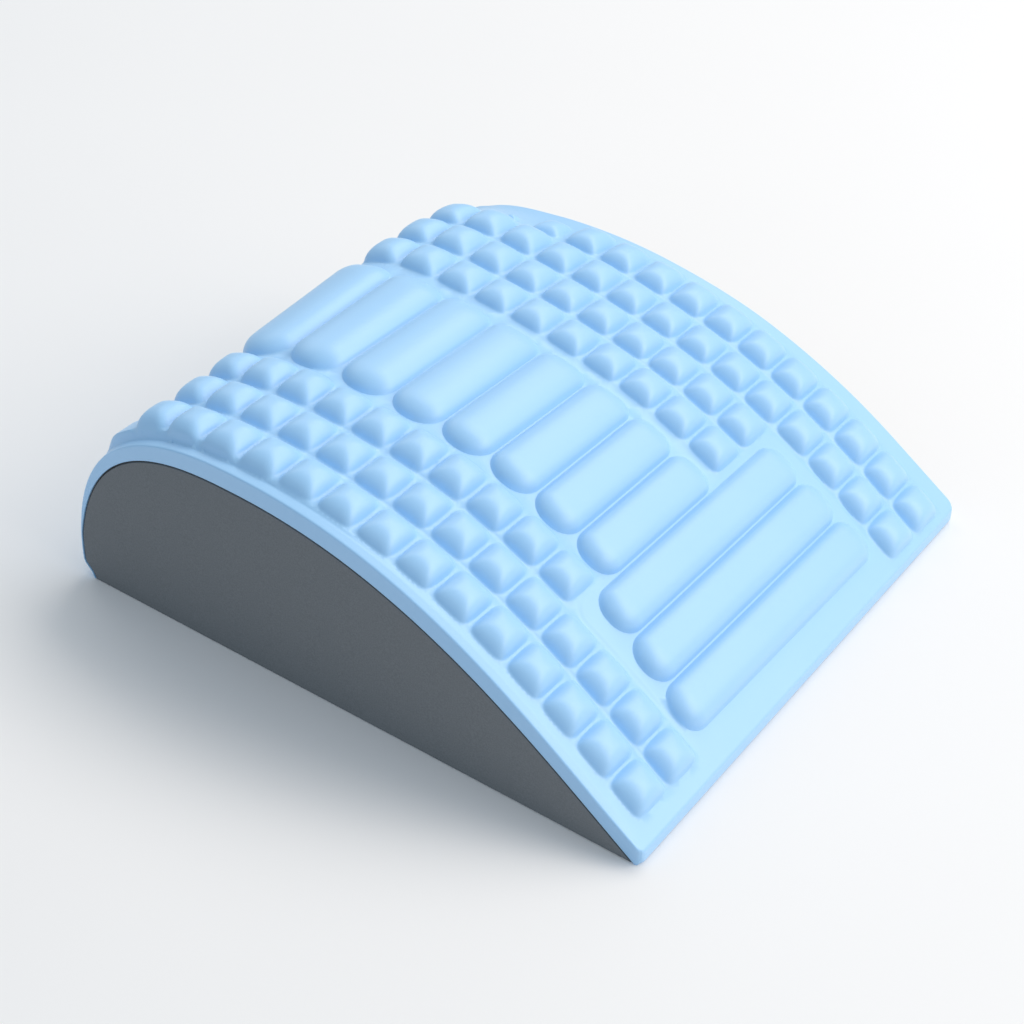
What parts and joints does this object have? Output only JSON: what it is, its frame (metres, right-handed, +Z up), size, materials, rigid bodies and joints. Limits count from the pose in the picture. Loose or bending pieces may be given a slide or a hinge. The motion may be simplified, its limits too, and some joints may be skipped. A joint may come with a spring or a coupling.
{
  "type": "foam back stretcher",
  "caption": "Arched wedge-shaped foam block covered by a soft moulded mat with square massage knobs at both sides and rounded bars across the middle, to lie back on.",
  "frame": {"origin": "on the floor, in the middle of the block's length and width", "axes": "+X from the thick end to the thin end, along the user's spine; +Y across the block; +Z up from the floor"},
  "size_m": [0.3379, 0.3044, 0.1211],
  "materials": {
    "core_foam": "matte",
    "adhesive": "matte",
    "mat_foam": "satin"
  },
  "bodies": {
    "root": {"foam_core": "core_foam", "adhesive_film": "adhesive", "massage_mat": "mat_foam"}
  },
  "joints": []
}
